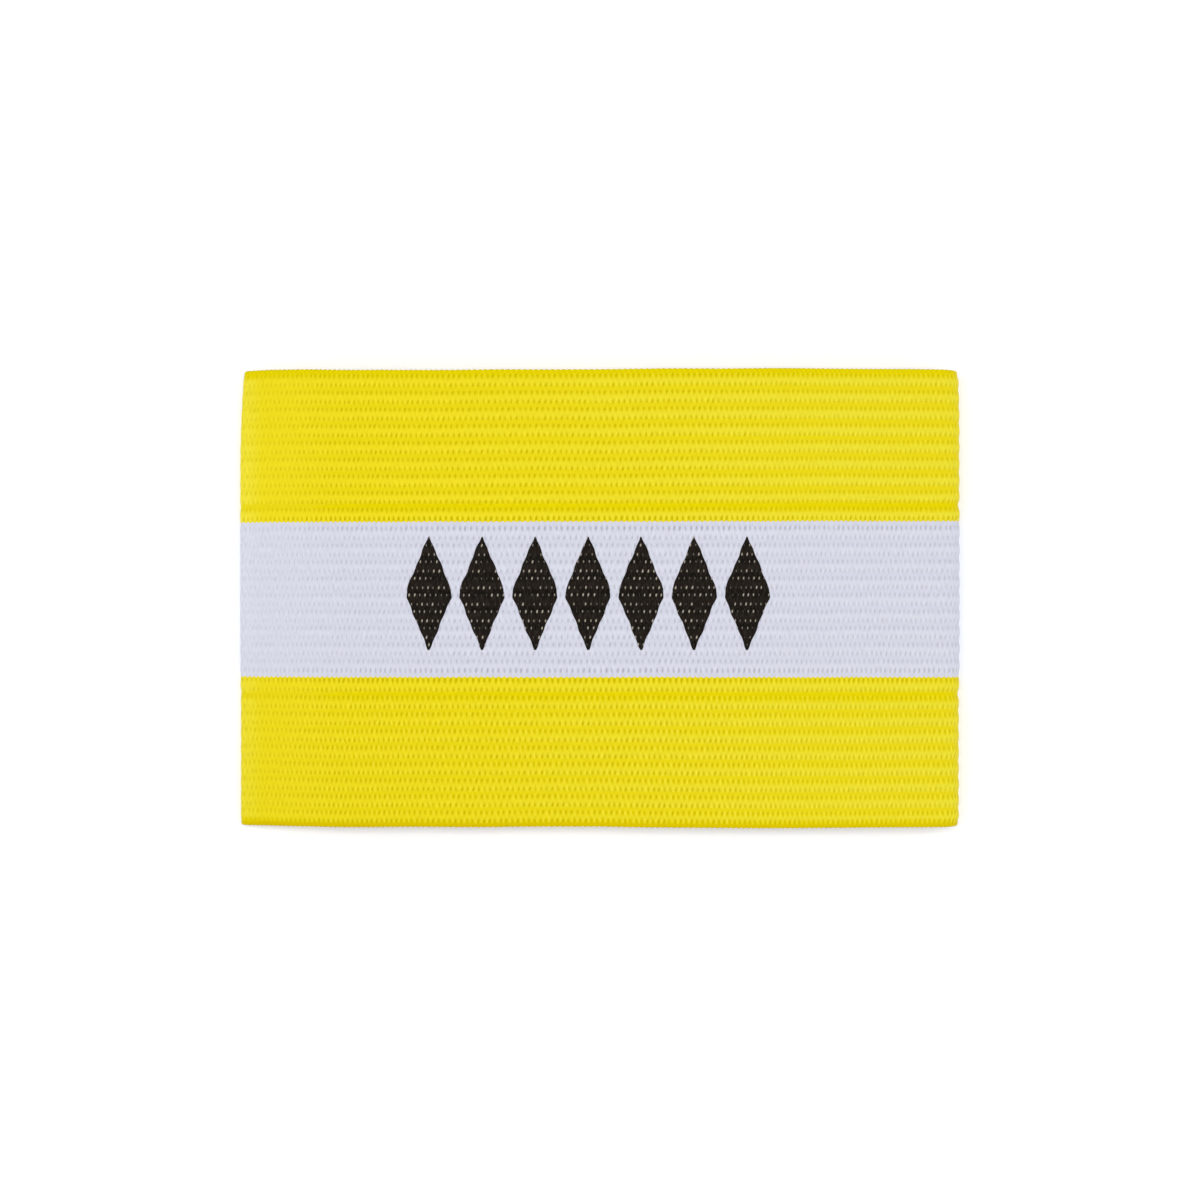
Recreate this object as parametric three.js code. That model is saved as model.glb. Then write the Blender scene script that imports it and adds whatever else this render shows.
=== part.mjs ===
// Captain's armband: a ribbed elastic web in three woven stripes, lapped and sewn into a loop, lying flat.
// Millimetres. X runs along the flattened band, Y across its height, Z up from the surface it lies on.
// The origin is the middle of the band on that surface.

import * as THREE from 'three';

// The band as it lies
const flatLength = 142; // over the two folds
const bandHeight = 90; // from selvedge to selvedge
const lyingHeight = 10; // from the surface to the upper layer's top
const slackFoldInside = 0.7; // inner radius of the left fold, which is pressed nearly shut
const slackFall = 29; // from the left fold's edge to where the upper layer starts to fall towards it

// The web
const webThickness = 1.5; // over the crests of both faces
const centreStripeHeight = 30.5;
const ribPitch = 3.25; // nine ribs fit in each stripe
const crestLand = 1.3; // flat width on top of each rib
const grooveDepth = 0.22;
const deepGrooveDepth = 0.4; // one groove in each outer stripe, a rib away from the colour change
const boundaryToCrest = 1.55; // from the colour change to the first crest of an outer stripe
const selvedgeWidth = 1.05;
const selvedgeDepth = 0.3; // how far the selvedge lies below the crests
const selvedgeLip = 0.35; // rounded-off width at its very edge
const selvedgeLipDepth = 0.5;
const colourGap = 0.3; // clearance between one stripe's solid and the next

// Outline of the flat band
const topTaper = 0.9; // how far each fold draws in at the top edge
const topTaperSpan = 12;
const cornerRadius = 1.1;

// The lapped seam in the layer that lies on the surface
const seamCentre = -6;
const seamOverlap = 18;
const seamRampLength = 9;
const seamLayerGap = 0.3;

// The print: a row of tall lozenges in a film of ink on the crests
const markCount = 7;
const markPitch = 10.4;
const markWidth = 9.4;
const markBlunt = 0.6; // width of the flat in place of each sharp point
const printAboveMargin = 2.9; // white left above the print
const printBelowMargin = 4.7;
const printLeftMargin = 3.9; // from where the upper layer starts to fall to the first mark
const inkThickness = 0.15;
const inkClearance = 0.05;

// Smoothness of the folds
const openFoldSteps = 10;
const slackFallSteps = 5;
const slackFoldSteps = 7;
const seamRampSteps = 2;

const yellowYarn = new THREE.MeshStandardMaterial({ color: 0xeada26, roughness: 0.75, metalness: 0 });
const whiteYarn = new THREE.MeshStandardMaterial({ color: 0xd6d7e5, roughness: 0.75, metalness: 0 });
const blackInk = new THREE.MeshStandardMaterial({ color: 0x292420, roughness: 0.6, metalness: 0 });

const edge = bandHeight / 2;
const halfCentre = centreStripeHeight / 2;
const halfWeb = webThickness / 2;
const fallX = -flatLength / 2 + slackFall;

// A stripe for each colour of yarn, from the top edge down, with the heights where it ends
const centreEnd = halfCentre - colourGap / 2;
const outerEnd = halfCentre + colourGap / 2;
const stripes = [
  { name: 'upper_stripe', low: outerEnd, high: edge, yarn: yellowYarn },
  { name: 'centre_stripe', low: -centreEnd, high: centreEnd, yarn: whiteYarn },
  { name: 'lower_stripe', low: -edge, high: -outerEnd, yarn: yellowYarn },
];

// Heights of all the crests, from the bottom edge up, with as many ribs as each stripe has room for
function crestHeights() {
  const centreRibs = Math.floor(centreStripeHeight / ribPitch);
  const firstOuter = halfCentre + boundaryToCrest;
  const outerRibs = 1 + Math.floor((edge - selvedgeWidth - crestLand / 2 - firstOuter) / ribPitch);
  const crests = [];
  for (let rib = 0; rib < centreRibs; rib += 1) crests.push((rib - (centreRibs - 1) / 2) * ribPitch);
  for (let rib = 0; rib < outerRibs; rib += 1) {
    crests.push(firstOuter + rib * ribPitch, -firstOuter - rib * ribPitch);
  }
  return crests.sort((a, b) => a - b);
}

// The web's relief, a row for each bend of its profile: the height, and the depth below the crests
function reliefRows() {
  const deepGrooveY = halfCentre + boundaryToCrest + ribPitch / 2;
  const rows = [];
  crestHeights().forEach((crest, i, crests) => {
    if (i > 0) {
      const y = (crests[i - 1] + crest) / 2;
      const deep = Math.abs(Math.abs(y) - deepGrooveY) < ribPitch / 4;
      rows.push({ y, depth: deep ? deepGrooveDepth : grooveDepth });
    }
    rows.push({ y: crest - crestLand / 2, depth: 0 }, { y: crest + crestLand / 2, depth: 0 });
  });
  const selvedge = [
    { y: edge - selvedgeWidth, depth: selvedgeDepth },
    { y: edge - selvedgeLip, depth: selvedgeDepth },
    { y: edge, depth: selvedgeLipDepth },
  ];
  const lowerSelvedge = selvedge.map(({ y, depth }) => ({ y: -y, depth })).reverse();
  return [...lowerSelvedge, ...rows, ...selvedge];
}

// The rows of one stripe, with the profile cut at its two ends
function rowsBetween(rows, low, high) {
  const cut = (y) => {
    const next = rows.findIndex((row) => row.y >= y);
    const above = rows[Math.max(next, 1)];
    const below = rows[Math.max(next, 1) - 1];
    return { y, depth: THREE.MathUtils.mapLinear(y, below.y, above.y, below.depth, above.depth) };
  };
  return [cut(low), ...rows.filter((row) => row.y > low && row.y < high), cut(high)];
}

// A walk along the middle of the web's thickness, in the XZ plane, with its stations
class WebPath {
  constructor(x, z) {
    this.at = new THREE.Vector2(x, z);
    this.heading = 0;
    this.stations = [];
    this.mark();
  }

  // The outward side lies to the right of the way the walk goes
  mark() {
    const outward = new THREE.Vector2(Math.sin(this.heading), -Math.cos(this.heading));
    this.stations.push({ at: this.at.clone(), outward });
  }

  straight(length) {
    this.at.add(new THREE.Vector2(Math.cos(this.heading), Math.sin(this.heading)).multiplyScalar(length));
    this.mark();
  }

  // Turns left through a positive angle, right through a negative one
  bend(radius, angle, steps) {
    const chord = 2 * radius * Math.sin(Math.abs(angle) / steps / 2);
    for (let step = 0; step < steps; step += 1) {
      const along = this.heading + angle / steps / 2;
      this.at.add(new THREE.Vector2(Math.cos(along), Math.sin(along)).multiplyScalar(chord));
      this.heading += angle / steps;
      this.mark();
    }
  }
}

// Once round the flattened loop, from the seam's lower end to its upper end
function loopStations() {
  const openFoldRadius = lyingHeight / 2;
  const slackFoldRadius = slackFoldInside + webThickness;
  const leftFoldX = -flatLength / 2 + slackFoldRadius;
  const rightFoldX = flatLength / 2 - openFoldRadius;

  // The falling stretch is an arc that leaves the level top and meets the left fold's arc smoothly
  const fallRun = fallX - leftFoldX;
  const fallRadius = (fallRun ** 2 + lyingHeight ** 2 - 2 * lyingHeight * slackFoldRadius)
    / (2 * (lyingHeight - 2 * slackFoldRadius));
  const fallAngle = Math.asin(fallRun / (fallRadius - slackFoldRadius));

  // The seam's upper end climbs an S-bend to lie on the lower end
  const climb = webThickness + seamLayerGap;
  const rampAngle = 2 * Math.atan(climb / seamRampLength);
  const rampRadius = seamRampLength / (2 * Math.sin(rampAngle));
  const seamLeft = seamCentre - seamOverlap / 2;

  const path = new WebPath(seamLeft, halfWeb);
  path.straight(rightFoldX - seamLeft);
  path.bend(openFoldRadius - halfWeb, Math.PI, openFoldSteps);
  path.straight(rightFoldX - fallX);
  path.bend(fallRadius - halfWeb, fallAngle, slackFallSteps);
  path.bend(slackFoldRadius - halfWeb, Math.PI - fallAngle, slackFoldSteps);
  path.straight(seamLeft - seamLayerGap - seamRampLength - leftFoldX);
  path.bend(rampRadius, rampAngle, seamRampSteps);
  path.bend(rampRadius, -rampAngle, seamRampSteps);
  path.straight(seamOverlap + seamLayerGap);
  return path.stations;
}

// How far the folds draw in at a height: a slight taper towards the top edge, and rounded corners
function drawnIn(y) {
  const taper = THREE.MathUtils.clamp((y - edge) / topTaperSpan + 1, 0, 1);
  const corner = THREE.MathUtils.clamp((Math.abs(y) - edge) / cornerRadius + 1, 0, 1);
  return topTaper * taper ** 2 + cornerRadius * (1 - Math.sqrt(1 - corner ** 2));
}

// One closed strip of web: its outer and inner faces follow the rows, and its two ends are square
function stripeMesh({ name, low, high, yarn }, rows, stations) {
  const profile = rowsBetween(rows, low, high);
  const section = [
    ...profile.map(({ y, depth }) => ({ y, out: halfWeb - depth })),
    ...profile.map(({ y, depth }) => ({ y, out: depth - halfWeb })).reverse(),
  ];
  const positions = [];
  for (const { at, outward } of stations) {
    for (const { y, out } of section) {
      const squeeze = 1 - drawnIn(y) / (flatLength / 2);
      positions.push((at.x + outward.x * out) * squeeze, y, at.y + outward.y * out);
    }
  }

  const indices = [];
  const quad = (a, b, c, d) => indices.push(a, b, c, a, c, d);
  const around = section.length;
  for (let station = 0; station < stations.length - 1; station += 1) {
    for (let i = 0; i < around; i += 1) {
      const here = station * around;
      const next = (i + 1) % around;
      quad(here + i, here + next, here + around + next, here + around + i);
    }
  }
  const last = (stations.length - 1) * around;
  for (let i = 0; i < profile.length - 1; i += 1) {
    const opposite = around - 1 - i;
    quad(i, opposite, opposite - 1, i + 1);
    quad(last + i, last + i + 1, last + opposite - 1, last + opposite);
  }

  const geometry = new THREE.BufferGeometry();
  geometry.setAttribute('position', new THREE.Float32BufferAttribute(positions, 3));
  geometry.setIndex(indices);
  geometry.computeVertexNormals();
  const mesh = new THREE.Mesh(geometry, yarn);
  mesh.name = name;
  return mesh;
}

// A tall lozenge with blunt points
function lozenge(width, height, blunt) {
  const side = (blunt * height) / width;
  const outline = [
    [width, side], [blunt, height], [-blunt, height], [-width, side],
    [-width, -side], [-blunt, -height], [blunt, -height], [width, -side],
  ];
  return new THREE.Shape(outline.map(([x, y]) => new THREE.Vector2(x / 2, y / 2)));
}

function printMarks() {
  const height = centreStripeHeight - printAboveMargin - printBelowMargin;
  const outline = lozenge(markWidth, height, markBlunt);
  const marks = [];
  for (let i = 0; i < markCount; i += 1) {
    const film = new THREE.ExtrudeGeometry(outline, { depth: inkThickness, bevelEnabled: false });
    const mark = new THREE.Mesh(film, blackInk);
    mark.name = `print_mark_${i + 1}`;
    mark.position.x = fallX + printLeftMargin + markWidth / 2 + i * markPitch;
    mark.position.y = (printBelowMargin - printAboveMargin) / 2;
    mark.position.z = lyingHeight + inkClearance;
    marks.push(mark);
  }
  return marks;
}

const armband = new THREE.Group();
const rows = reliefRows();
const stations = loopStations();
stripes.forEach((stripe) => armband.add(stripeMesh(stripe, rows, stations)));
armband.add(...printMarks());

export default armband;
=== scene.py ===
# Dresses a captain's armband: ribbed elastic web in three woven stripes, sewn into a loop, lying flat.
# Metres, in the row's frame: X along the flattened band, Y across its height, Z up from the surface.

import math

import bmesh
import bpy
import numpy as np
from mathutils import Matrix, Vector


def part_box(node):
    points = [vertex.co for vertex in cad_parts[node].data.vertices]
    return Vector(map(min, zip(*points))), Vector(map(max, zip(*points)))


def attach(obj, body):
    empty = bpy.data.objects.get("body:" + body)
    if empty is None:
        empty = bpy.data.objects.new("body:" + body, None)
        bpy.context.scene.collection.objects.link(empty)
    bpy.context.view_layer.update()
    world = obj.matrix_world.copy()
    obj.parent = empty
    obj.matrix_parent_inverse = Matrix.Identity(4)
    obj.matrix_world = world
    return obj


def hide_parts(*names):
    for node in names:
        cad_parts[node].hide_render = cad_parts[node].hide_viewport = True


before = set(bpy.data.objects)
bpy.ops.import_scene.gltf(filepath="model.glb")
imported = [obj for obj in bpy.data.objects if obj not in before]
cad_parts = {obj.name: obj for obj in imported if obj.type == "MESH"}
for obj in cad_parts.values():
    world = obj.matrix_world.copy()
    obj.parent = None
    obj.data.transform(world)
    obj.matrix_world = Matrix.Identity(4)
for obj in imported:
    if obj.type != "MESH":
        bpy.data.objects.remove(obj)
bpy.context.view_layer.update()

MM = 0.001

# The web, in the solids' sizes, apart from its relief, which is a little shallower here
WEB = 1.5 * MM  # over the crests of both faces
SLACK_FOLD_INSIDE = 0.7 * MM  # inner radius of the left fold, which is pressed nearly shut
SLACK_FALL = 29 * MM  # from the left fold's edge to where the upper layer starts to fall towards it
PATH_STEPS = 30000
RIBS = 9
RIB_PITCH = 3.25 * MM
GROOVE = 0.17 * MM
DEEP_GROOVE = 0.36 * MM
BOUNDARY_TO_CREST = 1.55 * MM  # from a colour change to the first crest of an outer stripe
SELVEDGE_WIDTH = 1.05 * MM
SELVEDGE_DEPTH = 0.27 * MM
SELVEDGE_LIP = 0.35 * MM  # rounded-off width at the very edge
LIP_DEPTH = 0.25 * MM
RIB_SHARPNESS = 1.2  # above 1 the crests are broader than the grooves

# How far each fold draws in at the top edge, over what height, and the radius of its two corners
LEFT_FOLD = {"taper": 0.78 * MM, "span": 20 * MM, "lower": 0.5 * MM, "upper": 0.5 * MM}
RIGHT_FOLD = {"taper": 0.3 * MM, "span": 12 * MM, "lower": 0.6 * MM, "upper": 0.5 * MM}
SPREAD = 0.14 * MM  # how much further out both folds lie along the two upper stripes
SPREAD_SPAN = 10 * MM  # over what height they come out
# How the band's two edges wander: place along X, lower edge and upper edge, in millimetres
WANDER = (
    (-70, 0.04, -0.06),
    (-66, 0.07, 0.1),
    (-58, 0.03, 0.08),
    (-50, -0.07, -0.12),
    (-40, 0.03, -0.2),
    (-20, 0.0, -0.08),
    (0, 0.12, -0.04),
    (20, -0.19, 0.12),
    (40, -0.2, 0.12),
    (60, 0.0, -0.05),
    (66, 0.03, -0.18),
    (70, 0.02, -0.22),
)

# The lapped seam, in the layer that lies on the surface
SEAM_CENTRE = -6 * MM
SEAM_OVERLAP = 18 * MM
SEAM_RAMP = 9 * MM
SEAM_LAYER_GAP = 0.3 * MM
SEAM_BLEND = 40 * MM  # from each end of the web to where the weave leans fully
STITCH_LINES = (-12 * MM, 0.0)
STITCH_PULL = 0.14 * MM  # how far the seam's thread pulls each face in
STITCH_PULL_WIDTH = 0.7 * MM
STITCH_LENGTH = 2.6 * MM
STITCH_WIDTH = 0.36 * MM
STITCH_HEIGHT = 0.22 * MM
STITCH_CLEARANCE = 0.02 * MM  # from the surface to the stitches under the band

# The weave: a row of pinholes on each side of every rib
DOT_REACH = 0.95 * MM  # from a crest to its rows of pinholes
HOLE_DEPTH = 0.1 * MM
HOLE_ALONG = 0.26  # half a pinhole along its row, in pinholes
HOLE_ACROSS = 0.34  # half a pinhole across its row, in rows
FOLD_FLATTENING = 0.65  # how much of the relief the slack fold presses out
PRESS_START = 6 * MM  # from where the upper layer starts to fall to where it starts to be pressed
PRESS_SPAN = 12 * MM
ROUND_FOLD_PRESS = 0.1  # the round fold presses as hard as this share of the slack one
ROUND_FOLD_SPAN = 3 * MM
TEETH = 0.16 * MM  # how far the floats of one colour reach into the next
# How far below each groove the painted groove shade is darkest, as if lit from below, in the lower and in
# the upper stripe
SHADE_SHIFT = (0.48 * MM, 0.28 * MM)

# How the web has slipped and stretched out of its even shape
SWAY_OUT = 0.06 * MM  # how far its slow waves rise
SWAY_ACROSS = 0.08 * MM
SWAY_WAVES = 6
SWAY_LEAST = (70, -160, 0)  # radians for a metre along and across the web, and a phase
SWAY_MOST = (420, 160, 2 * math.pi)
SKEW = 0.025  # how far the pinholes' columns lean along the band, for each unit across it
SAG = 0.3 * MM  # how far the middle of the band has slipped towards its lower edge
LOWER_SAG = 0.28 * MM  # and how much more the ribs of the lower stripe have
LOWER_SAG_GROWTH = 4  # the share that this gains towards the round fold, for each metre along it
LEAN = 0.0016  # how steeply the ribs of the upper half rise along the band
WIDENING = 0.01  # the share that the band's height gains towards the round fold, for each metre along it
PLAIN_PITCH = 0.945  # between pinholes along a row, in millimetres
# Where printing has stretched the upper layer: place along X and pitch there, in millimetres
PRINTED_PITCH = (
    (-42, 0.950),
    (-37, 1.000),
    (-32, 1.070),
    (-27, 1.110),
    (-4, 1.110),
    (20, 1.080),
    (24, 1.055),
    (29, 1.010),
    (34, 0.970),
    (39, 0.945),
)

# The print: a film of ink, cut to tall lozenges with blunt points and slightly uneven sides
INK_LIFT = 0.03 * MM
INK_FILM = 0.02 * MM
MARK_BLUNT = 0.35 * MM
MARK_MARGIN = 1.2 * MM  # left around a mark's box before it is cut
MARK_RIPPLE = 0.07 * MM  # how much wider a mark is on the crests
MARK_WAVER = 0.06 * MM

# The stripes' boxes, from the frame
centre_low, centre_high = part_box("centre_stripe")
upper_low, upper_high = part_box("upper_stripe")
FLAT_LENGTH = centre_high.x - centre_low.x
LYING_HEIGHT = centre_high.z
EDGE = upper_high.y
COLOUR_CHANGE = (upper_low.y + centre_high.y) / 2
MIDDLE_ROW = 3 * RIBS - 0.5  # the band's middle, counted in rows of pinholes


def running_total(values, step):
    """The integral of evenly spaced values, from nought."""
    return np.concatenate([[0], np.cumsum((values[1:] + values[:-1]) / 2) * step])


def web_path():
    """Once round the loop at mid-thickness, from the seam's lower end to its upper end, as tables."""
    half = WEB / 2
    open_radius = LYING_HEIGHT / 2
    slack_radius = SLACK_FOLD_INSIDE + WEB
    left_x = slack_radius - FLAT_LENGTH / 2
    right_x = FLAT_LENGTH / 2 - open_radius
    fall_x = SLACK_FALL - FLAT_LENGTH / 2
    # The falling stretch is an arc that leaves the level top and meets the left fold's arc smoothly
    run = fall_x - left_x
    drop = LYING_HEIGHT - 2 * slack_radius
    fall_radius = (run**2 + LYING_HEIGHT**2 - 2 * LYING_HEIGHT * slack_radius) / (2 * drop)
    fall_turn = math.asin(run / (fall_radius - slack_radius))
    ramp_turn = 2 * math.atan((WEB + SEAM_LAYER_GAP) / SEAM_RAMP)
    ramp_length = SEAM_RAMP / (2 * math.sin(ramp_turn)) * ramp_turn
    seam_left = SEAM_CENTRE - SEAM_OVERLAP / 2
    # Each stretch's length, and how far it turns
    stretches = (
        (right_x - seam_left, 0),
        ((open_radius - half) * math.pi, math.pi),
        (right_x - fall_x, 0),
        ((fall_radius - half) * fall_turn, fall_turn),
        ((slack_radius - half) * (math.pi - fall_turn), math.pi - fall_turn),
        (seam_left - SEAM_LAYER_GAP - SEAM_RAMP - left_x, 0),
        (ramp_length, ramp_turn),
        (ramp_length, -ramp_turn),
        (SEAM_OVERLAP + SEAM_LAYER_GAP, 0),
    )
    lengths, turns = np.array(stretches).T
    knots = np.concatenate([[0], np.cumsum(lengths)])
    s, step = np.linspace(0, knots[-1], PATH_STEPS, retstep=True)
    heading = np.interp(s, knots, np.concatenate([[0], np.cumsum(turns)]))
    x = seam_left + running_total(np.cos(heading), step)
    z = half + running_total(np.sin(heading), step)
    place, printed = np.array(PRINTED_PITCH).T
    upper = np.cos(heading) < -0.8  # heading back, more or less level
    pitch = np.where(upper, np.interp(x / MM, place, printed), PLAIN_PITCH) * MM
    dots = running_total(1 / pitch, step)
    # How hard the folds press the web, up to one
    slack = np.clip((fall_x - PRESS_START - x) / PRESS_SPAN, 0, 1)
    folded = slack + ROUND_FOLD_PRESS * np.clip((x - right_x) / ROUND_FOLD_SPAN, 0, 1)
    return {"s": s, "x": x, "z": z, "heading": heading, "dots": dots, "knots": knots, "folded": folded}


PATH = web_path()
LOOP_LENGTH = PATH["s"][-1]


def crest_heights():
    """Where the ribs' crests lie, from the bottom edge up."""
    centre = (np.arange(RIBS) - (RIBS - 1) / 2) * RIB_PITCH
    outer = COLOUR_CHANGE + BOUNDARY_TO_CREST + np.arange(RIBS) * RIB_PITCH
    return np.concatenate([-outer[::-1], centre, outer])


CRESTS = crest_heights()
VALLEYS = (CRESTS[1:] + CRESTS[:-1]) / 2
DOT_ROWS = np.sort(np.concatenate([CRESTS - DOT_REACH, CRESTS + DOT_REACH]))


def relief(y):
    """How far the web's faces lie below the crests at heights y."""
    rib = np.searchsorted(VALLEYS, y)
    away = y - CRESTS[rib]
    valley = np.where(away > 0, rib, rib - 1)
    selvedge = (valley < 0) | (valley >= len(VALLEYS))
    inside = np.clip(valley, 0, len(VALLEYS) - 1)
    half = np.where(selvedge, SELVEDGE_WIDTH, np.abs(VALLEYS[inside] - CRESTS[rib]))
    # A deep groove lies one rib away from each colour change
    deep = np.isin(valley, (RIBS - 2, 2 * RIBS))
    groove = np.where(selvedge, SELVEDGE_DEPTH, np.where(deep, DEEP_GROOVE, GROOVE))
    across = np.clip(np.abs(away) / half, 0, 1)
    lip = np.clip((np.abs(y) - EDGE) / SELVEDGE_LIP + 1, 0, 1)
    rounded = (0.5 - 0.5 * np.cos(math.pi * across)) ** RIB_SHARPNESS
    return groove * rounded + LIP_DEPTH * (1 - np.sqrt(1 - lip**2))


def weave_row(y):
    """Height counted in rows of pinholes, which lie at whole numbers, each crest after an even row."""
    step = VALLEYS[0] - CRESTS[0]
    known = np.concatenate([[DOT_ROWS[0] - step], DOT_ROWS, [DOT_ROWS[-1] + step]])
    return np.interp(y, known, np.arange(len(known)) - 1)


def drawn_in(x, y):
    """How far the fold nearer to x draws in at heights y, for its taper and its round corners."""
    taper, span, lower, upper = (np.where(x < 0, LEFT_FOLD[key], RIGHT_FOLD[key]) for key in LEFT_FOLD)
    radius = np.where(y > 0, upper, lower)
    near_top = np.clip((y - EDGE) / span + 1, 0, 1)
    corner = np.clip((np.abs(y) - EDGE) / radius + 1, 0, 1)
    return taper * near_top**2 + radius * (1 - np.sqrt(1 - corner**2))


def slipped(x, y):
    """How far the web lies above its even place, for the wandering edges and the slipped ribs."""
    middle = 1 - (y / EDGE) ** 2
    outer = np.clip((np.abs(y) - COLOUR_CHANGE) / (EDGE - COLOUR_CHANGE), 0, 1)
    lower = np.where(y < 0, outer, 0)
    place, below, above = np.array(WANDER).T * MM
    wander = outer * np.where(y < 0, np.interp(x, place, below), np.interp(x, place, above))
    lean = middle * (LEAN * x * np.clip(y / COLOUR_CHANGE / 2 + 0.5, 0, 1) - SAG)
    # The lower stripe's sag is greatest at its middle and grows a little towards the round fold
    bow = 4 * lower * (1 - lower)
    return wander + lean + WIDENING * x * y - LOWER_SAG * bow * (1 + LOWER_SAG_GROWTH * x)


def sway(s, y, seed):
    """A slow, shallow wave over the web, from -1 to 1, that all three stripes share."""
    random = np.random.default_rng(seed)
    total = 0
    for _ in range(SWAY_WAVES):
        along, across, phase = random.uniform(SWAY_LEAST, SWAY_MOST)
        total = total + np.sin(along * s + across * y + phase)
    return total / SWAY_WAVES


def outer_heights(low, high):
    """Where the outer face of a stripe is sampled: crests, pinhole rows, valleys and points between."""
    near = DOT_REACH / 2
    steps = [CRESTS - DOT_REACH, CRESTS - near, CRESTS, CRESTS + near, CRESTS + DOT_REACH, VALLEYS]
    shoulders = [(VALLEYS + DOT_ROWS[1:-1:2]) / 2, (VALLEYS + DOT_ROWS[2::2]) / 2]
    upper_edge = EDGE - np.array([SELVEDGE_WIDTH, SELVEDGE_LIP, SELVEDGE_LIP * 0.4])
    heights = np.concatenate(steps + shoulders + [upper_edge, -upper_edge])
    clear = 0.15 * MM
    inside = heights[(heights > low + clear) & (heights < high - clear)]
    if high > EDGE - clear or low < clear - EDGE:
        on_lip = heights[(np.abs(heights) > EDGE - SELVEDGE_LIP) & (heights > low) & (heights < high)]
        inside = np.concatenate([inside, on_lip])
    return np.unique(np.round(np.concatenate([inside, [low, high]]), 8))


def inner_heights(low, high):
    """The inner face, which hardly shows, is sampled at the crests' shoulders and the valleys."""
    near = 0.55 * DOT_REACH
    lips = [EDGE - SELVEDGE_LIP, SELVEDGE_LIP - EDGE]
    heights = np.concatenate([CRESTS - near, CRESTS + near, VALLEYS, lips])
    inside = heights[(heights > low + near) & (heights < high - near / 2)]
    return np.unique(np.round(np.concatenate([inside, [low, high]]), 8))


def weave_columns():
    """Distances along the loop, in pinholes, close together on the upper layer and the folds."""
    # The folds, and the upper layer between them, run from the second knot to the sixth
    knot_dots = np.interp(PATH["knots"], PATH["s"], PATH["dots"])
    start, stop, end = round(knot_dots[1]), round(knot_dots[5]), PATH["dots"][-1]
    lower, upper, seam = np.arange(0, start, 0.5), np.arange(start, stop, 0.25), np.arange(stop, end, 0.5)
    return np.concatenate([lower, upper, seam, [end]])


def lay_web(name, dots, heights, side, lift=0.0):
    """A grid of web, woven flat, then laid along the loop: side is 1 on the outer face, -1 on the inner."""
    bm = bmesh.new()
    bmesh.ops.create_grid(bm, x_segments=len(dots) - 1, y_segments=len(heights) - 1, size=0.5)
    mesh = bpy.data.meshes.new(name)
    bm.to_mesh(mesh)
    bm.free()

    flat = np.zeros(len(mesh.vertices) * 3)
    mesh.vertices.foreach_get("co", flat)
    share = flat.reshape(-1, 3) + 0.5
    column, row, _ = np.rint(share * (len(dots) - 1, len(heights) - 1, 0)).astype(int).T
    u, y, face = dots[column], heights[row], side[row]

    s = np.interp(u, PATH["dots"], PATH["s"])
    from_end = np.clip(np.minimum(s, LOOP_LENGTH - s) / SEAM_BLEND, 0, 1)
    s = s - SKEW * y * from_end
    x, z, heading = (np.interp(s, PATH["s"], PATH[key]) for key in ("x", "z", "heading"))
    # The outer face is pushed in at every pinhole
    v = weave_row(y)
    nearest = np.rint(v)
    on_row = np.abs(v - nearest) < 1e-4
    gap = np.abs((u - nearest / 2 + 0.5) % 1 - 0.5)
    hole = on_row * (gap < 0.05) * (face > 0)
    unpressed = 1 - FOLD_FLATTENING * np.interp(s, PATH["s"], PATH["folded"])
    depth = relief(y) * unpressed
    for line in STITCH_LINES:
        depth = depth + STITCH_PULL * np.exp(-(((x - line) / STITCH_PULL_WIDTH) ** 2)) * (from_end < 0.5)
    # The web's slow waves rise in the upper layer, and the layer that lies on the surface stays level
    upper = np.clip(z / LYING_HEIGHT * 2 - 0.4, 0, 1)
    out = face * (WEB / 2 - depth - HOLE_DEPTH * hole + lift) + SWAY_OUT * upper * sway(s, y, 3)
    # The floats make teeth at the colour changes and at the selvedges
    boundary = np.abs(np.abs(y) - COLOUR_CHANGE) < 1e-6
    edge = np.abs(np.abs(y) - EDGE) < 1e-6
    wave = np.cos(2 * math.pi * u)
    teeth = TEETH * (wave * boundary + 0.5 * (wave - 1) * np.sign(y) * edge)
    reach = SPREAD * np.clip(y / SPREAD_SPAN + 2, 0, 1) - drawn_in(x, y)
    squeeze = 1 + reach / (FLAT_LENGTH / 2)
    across = y + slipped(x, y) + teeth + SWAY_ACROSS * sway(s, y, 8)
    place = [(x + np.sin(heading) * out) * squeeze, across, z - np.cos(heading) * out]
    mesh.vertices.foreach_set("co", np.stack(place, axis=1).ravel())

    # What the finish reads: the place in the weave, and how deep in a groove, which the finishes paint as
    # shade
    corner = np.zeros(len(mesh.loops), int)
    mesh.loops.foreach_get("vertex_index", corner)
    weave = mesh.uv_layers.new(name="weave")
    weave.uv.foreach_set("vector", np.stack([u, v], axis=1)[corner].ravel())
    recess = mesh.attributes.new("recess", "FLOAT", "POINT")
    ribbed = (y > CRESTS[0]) & (y < CRESTS[-1])
    # The painted groove shade is moved down the ribs by SHADE_SHIFT, as if the light came from below
    shift = np.interp(y, (-COLOUR_CHANGE, COLOUR_CHANGE), SHADE_SHIFT) * ribbed
    shown = np.where(ribbed, unpressed, 1)
    recess.data.foreach_set("value", (relief(y + shift) / DEEP_GROOVE * shown).clip(0, 1))
    return mesh


def piece(name, mesh, material):
    """An object for a finished mesh, riding on the only body."""
    made = bpy.data.objects.new(name, mesh)
    bpy.context.scene.collection.objects.link(made)
    mesh.materials.append(material)
    mesh.shade_smooth()
    mesh.set_sharp_from_angle(angle=math.radians(70))
    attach(made, "root")
    return made


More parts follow.
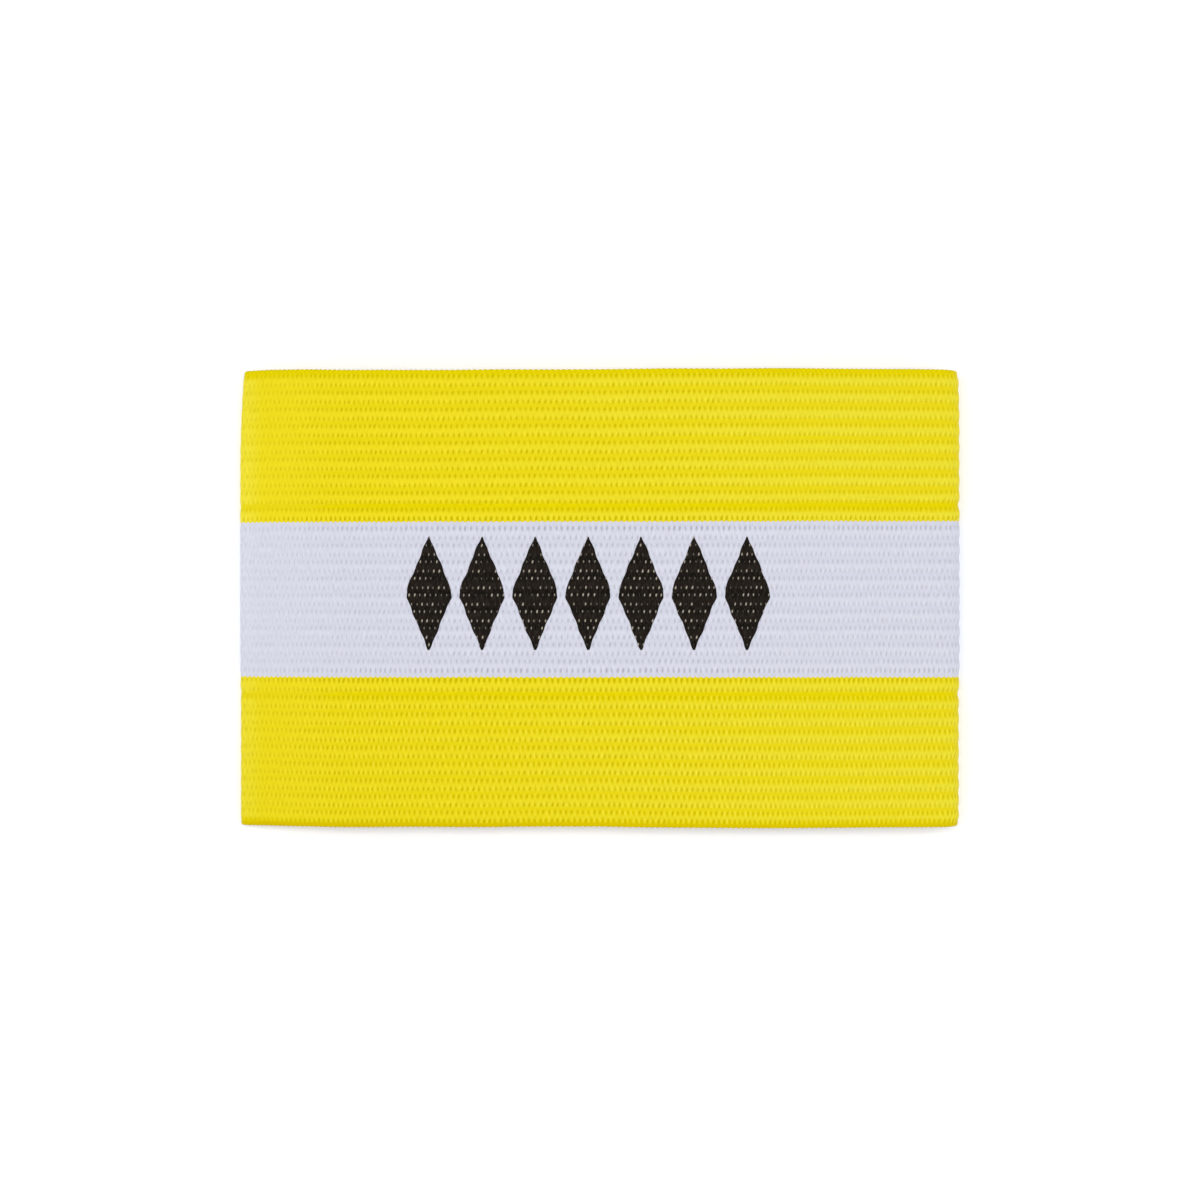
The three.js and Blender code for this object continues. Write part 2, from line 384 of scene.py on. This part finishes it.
def woven_stripe(name, node, low, high, material):
    """One stripe of the web, closed: its outer face, its inner face and its two ends in the seam."""
    outer = outer_heights(low, high)
    inner = inner_heights(low, high)[::-1]
    heights = np.concatenate([outer, inner, outer[:1]])
    side = np.concatenate([np.ones(len(outer)), -np.ones(len(inner)), [1]])
    mesh = lay_web(name, weave_columns(), heights, side)
    bm = bmesh.new()
    bm.from_mesh(mesh)
    bmesh.ops.remove_doubles(bm, verts=bm.verts, dist=1e-7)
    ends = bmesh.ops.holes_fill(bm, edges=[e for e in bm.edges if e.is_boundary], sides=0)
    bmesh.ops.triangulate(bm, faces=ends["faces"])
    bmesh.ops.recalc_face_normals(bm, faces=bm.faces)
    bm.to_mesh(mesh)
    bm.free()
    made = piece(name, mesh, material)
    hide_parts(node)


class Value:
    """A socket in a shader's tree, whose arithmetic adds Math nodes."""

    def __init__(self, shader, socket):
        self.shader = shader
        self.socket = socket

    def maths(self, operation, *values):
        return self.shader.node("ShaderNodeMath", {"operation": operation}, dict(enumerate(values)))

    def __add__(self, other):
        return self.maths("ADD", self, other)

    def __sub__(self, other):
        return self.maths("SUBTRACT", self, other)

    def __rsub__(self, other):
        return self.maths("SUBTRACT", other, self)

    def __mul__(self, other):
        return self.maths("MULTIPLY", self, other)

    def __truediv__(self, other):
        return self.maths("DIVIDE", self, other)

    def __pow__(self, other):
        return self.maths("POWER", self, other)

    def __abs__(self):
        return self.maths("ABSOLUTE", self)

    def __floor__(self):
        return self.maths("FLOOR", self)

    __radd__ = __add__
    __rmul__ = __mul__

    def cosine(self):
        return self.maths("COSINE", self)

    def most(self, other):
        return self.maths("MAXIMUM", self, other)

    def fade(self, start, end):
        """Nought below start, one above end, smooth between."""
        ends = {"Value": self, "From Min": start, "From Max": end}
        return self.shader.node("ShaderNodeMapRange", {"interpolation_type": "SMOOTHSTEP"}, ends)


class Shader:
    """A new material whose nodes are added one call at a time."""

    def __init__(self, name):
        self.material = bpy.data.materials.new(name)
        self.material.use_nodes = True
        self.tree = self.material.node_tree
        self.tree.nodes.clear()

    def node(self, kind, settings=None, inputs=None, output=0):
        """Adds a node, its settings first, then the values or links of its sockets; gives one output."""
        made = self.tree.nodes.new(kind)
        for name, value in (settings or {}).items():
            setattr(made, name, value)
        for key, value in (inputs or {}).items():
            if isinstance(value, Value):
                self.tree.links.new(value.socket, made.inputs[key])
            else:
                made.inputs[key].default_value = value
        return Value(self, made.outputs[output]) if made.outputs else None

    def parts(self, vector):
        """The X and Y of a vector."""
        first = self.node("ShaderNodeSeparateXYZ", inputs={"Vector": vector})
        return first, Value(self, first.socket.node.outputs[1])

    def blend(self, factor, first, second):
        """From the first colour to the second."""
        inputs = {"Factor": factor, 6: first, 7: second}
        return self.node("ShaderNodeMix", {"data_type": "RGBA"}, inputs, output=2)

    def finish(self, **inputs):
        """Ends the tree with a surface that has these inputs, and gives the material."""
        named = {name.replace("_", " "): value for name, value in inputs.items()}
        surface = self.node("ShaderNodeBsdfPrincipled", inputs=named)
        self.node("ShaderNodeOutputMaterial", inputs={"Surface": surface})
        return self.material


def colour(red, green, blue):
    """An sRGB colour, 0 to 255, as the linear colour that a socket takes."""
    def linear(level):
        share = level / 255
        return share / 12.92 if share <= 0.04045 else ((share + 0.055) / 1.055) ** 2.4
    return (linear(red), linear(green), linear(blue), 1)


def weave_marks(shader):
    """What the weave shows: its pinholes, and the strokes of its floats, from -1 (dark) to 1 (light)."""
    along, across = shader.parts(shader.node("ShaderNodeUVMap", {"uv_map": "weave"}))
    row = math.floor(across + 0.5)
    odd = row - 2 * math.floor(row * 0.5)
    shifted = along - row * 0.5
    pick = math.floor(shifted + 0.5)
    cell = shader.node("ShaderNodeCombineXYZ", inputs={"X": pick, "Y": row})
    noise = shader.node("ShaderNodeTexWhiteNoise", {"noise_dimensions": "2D"}, {"Vector": cell}, output=1)
    chance, other = shader.parts(noise)
    off_row = across - row
    # Every hole is shifted a little along its row, and leans a little
    beside = shifted - pick + (chance - 0.5) * 0.12 + (other - 0.5) * off_row * 0.5
    to_crest = off_row * (1 - 2 * odd)
    round_hole = ((beside / HOLE_ALONG) ** 2 + (off_row / HOLE_ACROSS) ** 2) ** 0.5
    # The holes are darkest beside a colour change
    colour_change = 1 - abs(abs(row - MIDDLE_ROW) - RIBS).fade(0.6, 1.4)
    strength = (0.5 + 0.5 * other) * (1 + 0.7 * colour_change)
    hole = (1 - round_hole.fade(0.2, 1.2)) * strength
    reach = to_crest.fade(-0.4, -0.1) * (1 - to_crest.fade(0.15, 0.6))
    strokes = (beside * 2 * math.pi).cosine() * -1 * reach * (0.4 + 0.6 * chance)
    return along, across, hole, strokes


def filaments(shader, along, across):
    """Fine threads that run with the floats, across the band."""
    place = shader.node("ShaderNodeCombineXYZ", inputs={"X": along * 3.7, "Y": across * 1.4})
    noise = {"Vector": place, "Scale": 1.0, "Detail": 3.0}
    return shader.node("ShaderNodeTexNoise", {"noise_dimensions": "2D"}, noise)


def yarn_finish(name, floats, holes, stretched, closed, highlight, crest, sheen_crest, groove, deep,
                pinhole_shade, shade):
    """Covered rubber web in one colour of yarn.

    floats and holes say how plainly they show, stretched how much more where the print is, and
    closed how much less beyond it.
    """
    shader = Shader(name)
    along, across, hole, strokes = weave_marks(shader)
    recess = shader.node("ShaderNodeAttribute", {"attribute_name": "recess"}, output=2)
    threads = filaments(shader, along, across)
    place = shader.node("ShaderNodeTexCoord", output=3)
    x, y = shader.parts(place)
    # The floats stand out most towards the round fold and in the lower stripe
    floating = x.fade(-20 * MM, 60 * MM) * 0.3 + (1 - y.fade(-30 * MM, 0)) * 0.35 + 0.25
    strokes = strokes * floating * floats
    cloud = shader.node("ShaderNodeTexNoise", inputs={"Vector": place, "Scale": 60.0, "Detail": 3.0})
    # Painted sheen: the yarn is paler towards the round fold, and a painted reflection of the floor makes
    # it paler at the slack fold's edge; it is also darker at the lower left
    rim_reflection = 1 - x.fade(-71 * MM, -66 * MM)
    painted_sheen = x.fade(-60 * MM, 60 * MM) + rim_reflection
    body = shader.blend(painted_sheen, crest, sheen_crest)
    body = shader.blend(rim_reflection * 0.5, body, highlight)
    dim = (1 - x.fade(-40 * MM, 60 * MM)) * (1 - y.fade(-35 * MM, -5 * MM))
    body = shader.blend(cloud.fade(0.3, 0.7) * 0.2 + dim * 0.2, body, groove)
    # Painted shade: the grooves darken towards the groove colour, the deep grooves towards the deep colour
    body = shader.blend(recess.fade(0.03, 0.35) * 0.9, body, groove)
    body = shader.blend(recess.fade(0.45, 0.7), body, deep)
    # The weave is pressed shut at the slack fold, stretched open by the printing, and tighter beyond it
    open_weave = x.fade(-71 * MM, -48 * MM) * 0.6 + 0.4
    open_weave = open_weave + x.fade(-45 * MM, -25 * MM) * stretched - x.fade(15 * MM, 45 * MM) * closed
    # Painted highlight on the floats and painted shade between them, with the darker grain of the threads
    lit = shader.blend(strokes.most(0) * open_weave, body, highlight)
    grain = threads.fade(0.35, 0.7) * 0.2 + dim * 0.06
    shaded = shader.blend((strokes * -1).most(0) * open_weave * 0.6 + grain, lit, pinhole_shade)
    # Painted shade in the pinholes
    pierced = shader.blend(hole * open_weave * holes, shaded, pinhole_shade)
    # The selvedges show slanting turns of yarn, and the lower one is the darker, from painted shade
    from_middle = abs(across - MIDDLE_ROW)
    selvedge = from_middle.fade(MIDDLE_ROW + 0.15, MIDDLE_ROW + 0.35)
    turns = ((along + from_middle * 0.6) * 2 * math.pi).cosine().fade(0.2, 1.0)
    turned = shader.blend(selvedge * turns * 0.35, pierced, pinhole_shade)
    base = shader.blend((1 - across.fade(-0.4, 0.05)) * (0.9 - painted_sheen * 0.3), turned, shade)
    height = strokes * 0.4 - hole * 0.6 + threads * 0.35
    bump = shader.node("ShaderNodeBump", inputs={"Strength": 0.5, "Distance": 0.08 * MM, "Height": height})
    return shader.finish(Base_Color=base, Roughness=0.75, Normal=bump, Specular_IOR_Level=0.02,
                         Sheen_Weight=0.2, Sheen_Roughness=0.3)


def ink_finish(name):
    """Screen-print ink on the web: matt black, with painted shade that makes it darker in the grooves, the
    weave's pinholes left bare.
    """
    shader = Shader(name)
    along, across, hole, strokes = weave_marks(shader)
    recess = shader.node("ShaderNodeAttribute", {"attribute_name": "recess"}, output=2)
    threads = filaments(shader, along, across)
    body = shader.blend(recess.fade(0.0, 0.6), colour(27, 22, 18), colour(15, 12, 9))
    rubbed = shader.blend(threads.fade(0.4, 0.75) * 0.6, body, colour(52, 46, 41))
    base = shader.blend(hole.fade(0.45, 0.95), rubbed, colour(160, 152, 138))
    height = strokes * 0.3 - hole * 0.6 + threads * 0.4
    bump = shader.node("ShaderNodeBump", inputs={"Strength": 0.5, "Distance": 0.07 * MM, "Height": height})
    return shader.finish(Base_Color=base, Roughness=0.6, Normal=bump, Specular_IOR_Level=0.02)


def seam_stitches(material):
    """The thread that closes the loop: two lines of stitches through the lap, seen on both of its faces."""
    bm = bmesh.new()
    half_height = STITCH_HEIGHT / 2
    upper_face = 2 * WEB + SEAM_LAYER_GAP
    for line in STITCH_LINES:
        for crest in CRESTS:
            for z in (half_height + STITCH_CLEARANCE, upper_face - half_height):
                stitch = bmesh.ops.create_uvsphere(bm, u_segments=8, v_segments=6, radius=0.5)
                across = crest + slipped(line, crest)
                for vert in stitch["verts"]:
                    x, y, up = vert.co
                    vert.co = (line + x * STITCH_WIDTH, across + up * STITCH_LENGTH, z + y * STITCH_HEIGHT)
    bmesh.ops.recalc_face_normals(bm, faces=bm.faces)
    mesh = bpy.data.meshes.new("seam_stitches")
    bm.to_mesh(mesh)
    bm.free()
    piece("seam_stitches", mesh, material)


def thread_finish(name):
    """Twisted white sewing thread."""
    shader = Shader(name)
    place = shader.node("ShaderNodeTexCoord", output=3)
    bands = {"Vector": place, "Scale": 900.0}
    twist = shader.node("ShaderNodeTexWave", {"bands_direction": "DIAGONAL"}, bands)
    base = shader.blend(twist.fade(0.2, 0.8), colour(188, 189, 198), colour(212, 213, 222))
    return shader.finish(Base_Color=base, Roughness=0.7, Specular_IOR_Level=0.1)


def printed_mark(node, material):
    """A film of ink on the web's outer face, cut to a lozenge with slightly uneven sides."""
    low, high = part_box(node)
    middle = (low + high) / 2
    size = high - low
    dots = weave_columns()
    s = np.interp(dots, PATH["dots"], PATH["s"])
    x = np.interp(s, PATH["s"], PATH["x"])
    upper = np.interp(s, PATH["s"], PATH["z"]) > LYING_HEIGHT / 2
    dots = dots[upper & (x > low.x - MARK_MARGIN) & (x < high.x + MARK_MARGIN)]
    heights = outer_heights(-COLOUR_CHANGE, COLOUR_CHANGE)
    heights = heights[(heights > low.y - MARK_MARGIN) & (heights < high.y + MARK_MARGIN)]
    mesh = lay_web(node, dots, heights, np.ones(len(heights)), lift=INK_LIFT)

    bm = bmesh.new()
    bm.from_mesh(mesh)
    uneven(bm, middle, 1)
    for across, up in ((1, 1), (1, -1), (-1, 1), (-1, -1)):
        normal = Vector((across * size.y, up * size.x, 0))
        trim(bm, middle + Vector((across * size.x / 2, 0, 0)), normal)
    for across, up in ((1, 0), (-1, 0), (0, 1), (0, -1)):
        reach = Vector((across * (size.x / 2 - MARK_BLUNT), up * (size.y / 2 - MARK_BLUNT), 0))
        trim(bm, middle + reach, Vector((across, up, 0)))
    uneven(bm, middle, -1)
    bmesh.ops.solidify(bm, geom=bm.faces, thickness=INK_FILM)
    bmesh.ops.recalc_face_normals(bm, faces=bm.faces)
    bm.to_mesh(mesh)
    bm.free()
    made = piece(f"ink_{node}", mesh, material)
    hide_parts(node)


def uneven(bm, middle, sign):
    """Shifts the web before a mark is cut and back after it, so that straight cuts come out uneven."""
    for vert in bm.verts:
        away = 1 if vert.co.x > middle.x else -1
        ripple = math.cos(2 * math.pi * vert.co.y / RIB_PITCH)
        slow = math.sin(vert.co.y * 900 + middle.x * 700)
        vert.co.x -= sign * (MARK_RIPPLE * ripple * away + MARK_WAVER * slow)


def trim(bm, point, normal):
    """Cuts away what lies beyond a plane."""
    everything = bm.verts[:] + bm.edges[:] + bm.faces[:]
    bmesh.ops.bisect_plane(bm, geom=everything, dist=1e-7, plane_co=point, plane_no=normal,
                           clear_outer=True)


# Of the yarn colours below, all but the crest colour carry painted light and shade: a painted highlight on
# the floats and at the slack fold's rim, a paler crest for painted sheen, groove and deep colours for
# painted shade in the grooves, a pinhole colour for painted shade in the pinholes and between floats, and a
# shade colour for the lower selvedge
yellow = yarn_finish(
    "yellow_yarn",
    floats=0.85,
    holes=1.0,
    stretched=0.0,
    closed=0.35,
    highlight=colour(239, 224, 66),
    crest=colour(228, 210, 31),
    sheen_crest=colour(224, 211, 51),
    groove=colour(221, 203, 17),
    deep=colour(219, 201, 0),
    pinhole_shade=colour(194, 175, 0),
    shade=colour(203, 177, 0),
)
white = yarn_finish(
    "white_yarn",
    floats=0.4,
    holes=0.4,
    stretched=0.45,
    closed=0.42,
    highlight=colour(213, 215, 227),
    crest=colour(207, 208, 221),
    sheen_crest=colour(207, 209, 220),
    groove=colour(202, 203, 216),
    deep=colour(200, 201, 212),
    pinhole_shade=colour(160, 160, 173),
    shade=colour(200, 201, 212),
)
ink = ink_finish("matt_black_ink")

woven_stripe("upper_stripe_web", "upper_stripe", COLOUR_CHANGE, EDGE, yellow)
woven_stripe("centre_stripe_web", "centre_stripe", -COLOUR_CHANGE, COLOUR_CHANGE, white)
woven_stripe("lower_stripe_web", "lower_stripe", -EDGE, -COLOUR_CHANGE, yellow)
seam_stitches(thread_finish("white_thread"))
for node in sorted(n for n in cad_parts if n.startswith("print_mark")):
    printed_mark(node, ink)


def studio():
    """A plain white floor, a dim white world, a soft strip of light over the band and four broad lights."""
    bm = bmesh.new()
    bmesh.ops.create_grid(bm, x_segments=1, y_segments=1, size=3)
    mesh = bpy.data.meshes.new("floor")
    bm.to_mesh(mesh)
    bm.free()
    floor = bpy.data.objects.new("floor", mesh)
    bpy.context.scene.collection.objects.link(floor)
    # It glows a little, bluer than it reflects, so that the yellow band's shadow stays a neutral grey
    white_floor = Shader("white_floor").finish(Base_Color=(0.86, 0.852, 0.804, 1), Roughness=0.9,
                                              Specular_IOR_Level=0.0, Emission_Strength=1.0,
                                              Emission_Color=(0.15, 0.173, 0.27, 1))
    mesh.materials.append(white_floor)

    world = bpy.data.worlds.new("studio")
    bpy.context.scene.world = world
    world.use_nodes = True
    background = world.node_tree.nodes["Background"]
    background.inputs["Color"].default_value = (1, 1, 1, 1)
    background.inputs["Strength"].default_value = 0.46

    soft_box("key_light", (0, 0.027, 0.5), (0.45, 0.085), 1.22)
    soft_box("low_light", (0, -0.8, 0.5), (1, 1), 1.3)
    soft_box("high_light", (0, 0.8, 0.5), (1, 1), 0.9)
    soft_box("left_light", (-0.7, 0, 0.2), (0.8, 0.8), 2.2)
    soft_box("right_light", (0.7, 0, 0.2), (0.8, 0.8), 2.2)


def soft_box(name, place, size, power):
    """A rectangular light that faces the band."""
    light = bpy.data.lights.new(name, "AREA")
    light.shape = "RECTANGLE"
    light.size, light.size_y = size
    light.energy = power
    lamp = bpy.data.objects.new(name, light)
    lamp.location = place
    lamp.rotation_euler = (-Vector(place)).to_track_quat("-Z", "Y").to_euler()
    bpy.context.scene.collection.objects.link(lamp)


def look_down():
    """The camera straight above, framed as the photograph, 1200 pixels of 0.196 mm on the upper layer."""
    pixel = 0.196 * MM
    camera = bpy.data.cameras.new("camera")
    camera.lens = 110
    camera.sensor_width = 36
    half_width = 600 * pixel
    rise = half_width / (camera.sensor_width / 2 / camera.lens)
    holder = bpy.data.objects.new("camera", camera)
    holder.location = (0.75 * pixel, -2 * pixel, LYING_HEIGHT + rise)
    bpy.context.scene.collection.objects.link(holder)
    bpy.context.scene.camera = holder


studio()
look_down()
bpy.context.scene.view_settings.view_transform = "Standard"
